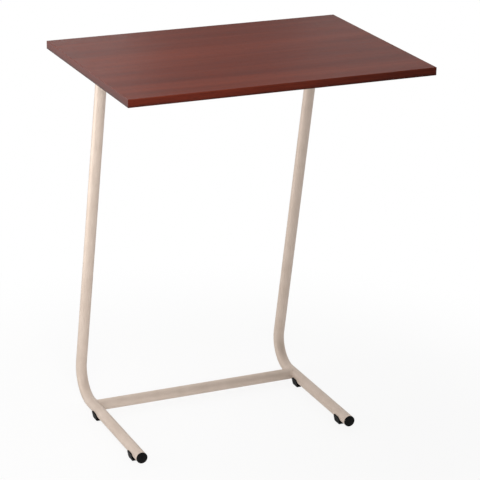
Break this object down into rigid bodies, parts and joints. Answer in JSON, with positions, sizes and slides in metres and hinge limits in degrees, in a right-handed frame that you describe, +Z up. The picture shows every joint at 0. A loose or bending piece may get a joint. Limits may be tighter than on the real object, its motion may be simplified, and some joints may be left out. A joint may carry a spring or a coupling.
{
  "type": "laptop table",
  "caption": "Cantilever laptop table: flat rectangular wood-grain top on bent round-tube side frames, tied at the feet by a crossbar, standing on saddle glides.",
  "frame": {"origin": "on the floor, at the middle of the table's bounding box in plan", "axes": "+Z up, +X to the user's right along the long side of the top, +Y away from the user; the feet and arms point to -Y"},
  "size_m": [0.6, 0.4712, 0.765],
  "materials": {
    "wood_laminate": "dark red-brown wood-grain laminate, satin",
    "edge_band": "dark red-brown wood-grain edge band, satin",
    "backing_laminate": "plain brown backing laminate, matt",
    "particle_board": "raw pressed wood chips",
    "tube_paint": "champagne beige powder coat, satin",
    "black_plastic": "black moulded plastic, fine grain",
    "zinc_steel": "bright zinc plated"
  },
  "bodies": {
    "root": {"board_core": "particle_board", "top_laminate": "wood_laminate", "backing_laminate": "backing_laminate", "edge_band_front": "edge_band", "edge_band_rear": "edge_band", "edge_band_left": "edge_band", "edge_band_right": "edge_band", "left_frame_tube": "tube_paint", "right_frame_tube": "tube_paint", "crossbar": "tube_paint", "crossbar_weld_left": "tube_paint", "crossbar_weld_right": "tube_paint", "foot_plug_left": "black_plastic", "foot_plug_right": "black_plastic", "arm_plug_left": "black_plastic", "arm_plug_right": "black_plastic", "glide_front_left": "black_plastic", "glide_rear_left": "black_plastic", "glide_front_right": "black_plastic", "glide_rear_right": "black_plastic", "saddle_washers": "black_plastic", "fixing_bolts": "zinc_steel", "threaded_inserts": "zinc_steel"}
  },
  "joints": []
}
